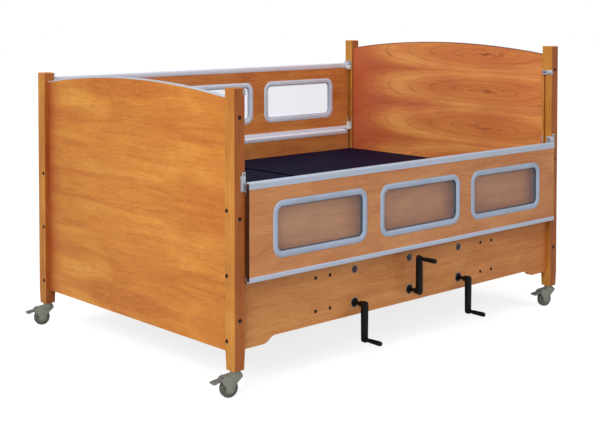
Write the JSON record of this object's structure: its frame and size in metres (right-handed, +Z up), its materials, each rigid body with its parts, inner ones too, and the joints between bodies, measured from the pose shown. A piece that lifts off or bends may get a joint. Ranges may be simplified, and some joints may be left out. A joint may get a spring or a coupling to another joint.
{
  "type": "adjustable hospital bed",
  "caption": "Full-size wooden enclosure hospital bed on locking casters, with arched end boards, sliding windowed side rails, a sectional navy deck and folding hand cranks.",
  "frame": {"origin": "centre of the bed's overall box in plan, at floor level under the wheels", "axes": "+X from the foot end to the head end, +Y from the crank side to the far side, +Z up"},
  "size_m": [2.2336, 1.6364, 1.344],
  "materials": {
    "maple_solid": "clear-lacquered solid wood posts",
    "maple_veneer": "clear-lacquered veneered board",
    "edge_metal": "satin anodised",
    "trim_plastic": "light blue-grey moulded",
    "clear_pane": "clear acrylic sheet",
    "nylon": "natural nylon",
    "bright_steel": "zinc plated",
    "painted_steel": "black powder coat",
    "deck_steel": "grey powder coat",
    "navy_vinyl": "navy coated fabric over firm foam",
    "grip_rubber": "black moulded grip",
    "caster_metal": "grey zinc finish",
    "caster_tyre": "grey rubber tread",
    "pedal_plastic": "grey moulded"
  },
  "bodies": {
    "frame": {"post_foot_near": "maple_solid", "post_foot_far": "maple_solid", "post_head_near": "maple_solid", "post_head_far": "maple_solid", "footboard": "maple_veneer", "headboard": "maple_veneer", "metal_edge_caps": "edge_metal", "side_panel_near": "maple_veneer", "side_panel_far": "maple_veneer", "rail_brackets": "bright_steel", "frame_bolts": "painted_steel", "lift_base_frame": "deck_steel", "crank_gear_cases": "deck_steel", "crank_bushes": "painted_steel"},
    "near_shoes": {"rail_near_shoes": "nylon"},
    "near_rail": {"rail_near_panel": "maple_veneer", "rail_near_channels": "edge_metal", "rail_near_window_trims": "trim_plastic", "rail_near_window_panes": "clear_pane"},
    "far_shoes": {"rail_far_shoes": "nylon"},
    "far_rail": {"rail_far_panel": "maple_veneer", "rail_far_channels": "edge_metal", "rail_far_window_trims": "trim_plastic", "rail_far_window_panes": "clear_pane"},
    "near_latch": {"rail_near_latches": "bright_steel"},
    "far_latch": {"rail_far_latches": "bright_steel"},
    "deck": {"deck_frame": "deck_steel", "deck_gear_cases": "deck_steel", "seat_pad": "navy_vinyl"},
    "back": {"back_section": "deck_steel", "back_pad": "navy_vinyl"},
    "thigh": {"thigh_section": "deck_steel", "thigh_pad": "navy_vinyl"},
    "calf": {"calf_section": "deck_steel", "calf_pad": "navy_vinyl"},
    "knee_crank": {"crank_knee": "painted_steel"},
    "lift_crank": {"crank_lift": "painted_steel"},
    "head_crank": {"crank_head": "painted_steel"},
    "knee_grip": {"grip_knee": "grip_rubber"},
    "lift_grip": {"grip_lift": "grip_rubber"},
    "head_grip": {"grip_head": "grip_rubber"},
    "line_shaft": {"lift_line_shaft": "bright_steel"},
    "foot_screw": {"lift_screw_foot": "bright_steel"},
    "head_screw": {"lift_screw_head": "bright_steel"},
    "knee_shaft": {"knee_drive_shaft": "bright_steel"},
    "head_shaft": {"head_drive_shaft": "bright_steel"},
    "knee_arm": {"knee_lift_arm": "deck_steel"},
    "head_arm": {"head_lift_arm": "deck_steel"},
    "fork_foot_near": {"caster_fork_foot_near": "caster_metal"},
    "wheel_foot_near": {"caster_wheel_foot_near": "caster_tyre"},
    "pedal_foot_near": {"caster_pedal_foot_near": "pedal_plastic"},
    "fork_foot_far": {"caster_fork_foot_far": "caster_metal"},
    "wheel_foot_far": {"caster_wheel_foot_far": "caster_tyre"},
    "pedal_foot_far": {"caster_pedal_foot_far": "pedal_plastic"},
    "fork_head_near": {"caster_fork_head_near": "caster_metal"},
    "wheel_head_near": {"caster_wheel_head_near": "caster_tyre"},
    "pedal_head_near": {"caster_pedal_head_near": "pedal_plastic"},
    "fork_head_far": {"caster_fork_head_far": "caster_metal"},
    "wheel_head_far": {"caster_wheel_head_far": "caster_tyre"},
    "pedal_head_far": {"caster_pedal_head_far": "pedal_plastic"}
  },
  "joints": [
    {"name": "near_shoes_slide", "type": "slide", "parent": "frame", "child": "near_shoes", "axis": [0, 0, 1], "range_m": [0, 0.353]},
    {"name": "near_rail_step", "type": "slide", "parent": "near_shoes", "child": "near_rail", "axis": [0, 1, 0], "range_m": [0, 0.026]},
    {"name": "far_shoes_slide", "type": "slide", "parent": "frame", "child": "far_shoes", "axis": [0, 0, 1], "range_m": [-0.353, 0]},
    {"name": "far_rail_step", "type": "slide", "parent": "far_shoes", "child": "far_rail", "axis": [0, 1, 0], "range_m": [0, 0.026]},
    {"name": "near_latch_slide", "type": "slide", "parent": "frame", "child": "near_latch", "axis": [0, 0, 1], "range_m": [0, 0.01]},
    {"name": "far_latch_slide", "type": "slide", "parent": "frame", "child": "far_latch", "axis": [0, 0, 1], "range_m": [0, 0.01]},
    {"name": "deck_lift", "type": "slide", "parent": "frame", "child": "deck", "axis": [0, 0, 1], "range_m": [-0.12, 0.06]},
    {"name": "back_hinge", "type": "hinge", "parent": "deck", "child": "back", "pos_m": [0.2618, 0.06078, 0.66], "axis": [0, -1, 0], "range_deg": [0, 65]},
    {"name": "knee_section_hinge", "type": "hinge", "parent": "deck", "child": "thigh", "pos_m": [0.0118, 0.06078, 0.66], "axis": [0, 1, 0], "range_deg": [0, 35]},
    {"name": "calf_hinge", "type": "hinge", "parent": "thigh", "child": "calf", "pos_m": [-0.3182, 0.06078, 0.66], "axis": [0, -1, 0], "range_deg": [0, 52]},
    {"name": "knee_crank_turn", "type": "hinge", "parent": "frame", "child": "knee_crank", "pos_m": [-0.3412, -0.71922, 0.26], "axis": [0, 1, 0], "range_deg": [0, 2160]},
    {"name": "knee_grip_spin", "type": "hinge", "parent": "knee_crank", "child": "knee_grip", "pos_m": [-0.3412, -0.76422, 0.11], "axis": [0, 1, 0], "continuous": true},
    {"name": "lift_crank_turn", "type": "hinge", "parent": "frame", "child": "lift_crank", "pos_m": [0.0108, -0.71922, 0.26], "axis": [0, 1, 0], "range_deg": [-3601, 1801]},
    {"name": "lift_grip_spin", "type": "hinge", "parent": "lift_crank", "child": "lift_grip", "pos_m": [0.0108, -0.76422, 0.41], "axis": [0, 1, 0], "continuous": true},
    {"name": "head_crank_turn", "type": "hinge", "parent": "frame", "child": "head_crank", "pos_m": [0.3558, -0.71922, 0.26], "axis": [0, 1, 0], "range_deg": [0, 3600]},
    {"name": "head_grip_spin", "type": "hinge", "parent": "head_crank", "child": "head_grip", "pos_m": [0.3558, -0.76422, 0.11], "axis": [0, 1, 0], "continuous": true},
    {"name": "line_shaft_turn", "type": "hinge", "parent": "frame", "child": "line_shaft", "pos_m": [0.0158, 0.06078, 0.26], "axis": [1, 0, 0], "range_deg": [-3601, 1801]},
    {"name": "foot_screw_turn", "type": "hinge", "parent": "frame", "child": "foot_screw", "pos_m": [-0.5312, 0.06078, 0.4], "axis": [0, 0, 1], "range_deg": [-1801, 3601]},
    {"name": "head_screw_turn", "type": "hinge", "parent": "frame", "child": "head_screw", "pos_m": [0.5638, 0.06078, 0.4], "axis": [0, 0, 1], "range_deg": [-3601, 1801]},
    {"name": "knee_shaft_turn", "type": "hinge", "parent": "frame", "child": "knee_shaft", "pos_m": [-0.3412, -0.56422, 0.4], "axis": [0, 0, 1], "range_deg": [0, 2160]},
    {"name": "head_shaft_turn", "type": "hinge", "parent": "frame", "child": "head_shaft", "pos_m": [0.3558, -0.56422, 0.4], "axis": [0, 0, 1], "range_deg": [0, 3600]},
    {"name": "knee_arm_turn", "type": "hinge", "parent": "deck", "child": "knee_arm", "pos_m": [-0.1162, 0.06078, 0.48], "axis": [0, 1, 0], "range_deg": [0, 51.6]},
    {"name": "head_arm_turn", "type": "hinge", "parent": "deck", "child": "head_arm", "pos_m": [0.3108, 0.06078, 0.48], "axis": [0, -1, 0], "range_deg": [0, 54.74]},
    {"name": "swivel_foot_near", "type": "hinge", "parent": "frame", "child": "fork_foot_near", "pos_m": [-1.0077, -0.65572, 0.09], "axis": [0, 0, 1], "continuous": true},
    {"name": "roll_foot_near", "type": "hinge", "parent": "fork_foot_near", "child": "wheel_foot_near", "pos_m": [-1.03704, -0.64948, 0.0375], "axis": [-0.2079, -0.9781, 0], "continuous": true},
    {"name": "brake_foot_near", "type": "hinge", "parent": "fork_foot_near", "child": "pedal_foot_near", "pos_m": [-1.06835, -0.64283, 0.074], "axis": [-0.2079, -0.9781, 0], "range_deg": [0, 15]},
    {"name": "swivel_foot_far", "type": "hinge", "parent": "frame", "child": "fork_foot_far", "pos_m": [-1.0077, 0.77728, 0.09], "axis": [0, 0, 1], "continuous": true},
    {"name": "roll_foot_far", "type": "hinge", "parent": "fork_foot_far", "child": "wheel_foot_far", "pos_m": [-1.03704, 0.78352, 0.0375], "axis": [-0.2079, -0.9781, 0], "continuous": true},
    {"name": "brake_foot_far", "type": "hinge", "parent": "fork_foot_far", "child": "pedal_foot_far", "pos_m": [-1.06835, 0.79017, 0.074], "axis": [-0.2079, -0.9781, 0], "range_deg": [0, 15]},
    {"name": "swivel_head_near", "type": "hinge", "parent": "frame", "child": "fork_head_near", "pos_m": [1.0853, -0.65572, 0.09], "axis": [0, 0, 1], "continuous": true},
    {"name": "roll_head_near", "type": "hinge", "parent": "fork_head_near", "child": "wheel_head_near", "pos_m": [1.05596, -0.64948, 0.0375], "axis": [-0.2079, -0.9781, 0], "continuous": true},
    {"name": "brake_head_near", "type": "hinge", "parent": "fork_head_near", "child": "pedal_head_near", "pos_m": [1.02466, -0.64283, 0.074], "axis": [-0.2079, -0.9781, 0], "range_deg": [0, 15]},
    {"name": "swivel_head_far", "type": "hinge", "parent": "frame", "child": "fork_head_far", "pos_m": [1.0853, 0.77728, 0.09], "axis": [0, 0, 1], "continuous": true},
    {"name": "roll_head_far", "type": "hinge", "parent": "fork_head_far", "child": "wheel_head_far", "pos_m": [1.05596, 0.78352, 0.0375], "axis": [-0.2079, -0.9781, 0], "continuous": true},
    {"name": "brake_head_far", "type": "hinge", "parent": "fork_head_far", "child": "pedal_head_far", "pos_m": [1.02466, 0.79017, 0.074], "axis": [-0.2079, -0.9781, 0], "range_deg": [0, 15]}
  ],
  "couplings": [
    {"joint": "near_rail_step", "follows": "near_shoes_slide", "ratio": 0.073654},
    {"joint": "far_rail_step", "follows": "far_shoes_slide", "ratio": -0.073654},
    {"joint": "lift_crank_turn", "follows": "deck_lift", "rad_per_m": 523.6},
    {"joint": "line_shaft_turn", "follows": "deck_lift", "rad_per_m": 523.6},
    {"joint": "foot_screw_turn", "follows": "deck_lift", "rad_per_m": -523.6},
    {"joint": "head_screw_turn", "follows": "deck_lift", "rad_per_m": 523.6},
    {"joint": "knee_section_hinge", "follows": "knee_crank_turn", "ratio": 0.016204},
    {"joint": "calf_hinge", "follows": "knee_crank_turn", "ratio": 0.023981},
    {"joint": "knee_arm_turn", "follows": "knee_crank_turn", "ratio": 0.023657},
    {"joint": "knee_shaft_turn", "follows": "knee_crank_turn", "ratio": 1},
    {"joint": "back_hinge", "follows": "head_crank_turn", "ratio": 0.018056},
    {"joint": "head_arm_turn", "follows": "head_crank_turn", "ratio": 0.015067},
    {"joint": "head_shaft_turn", "follows": "head_crank_turn", "ratio": 1}
  ]
}
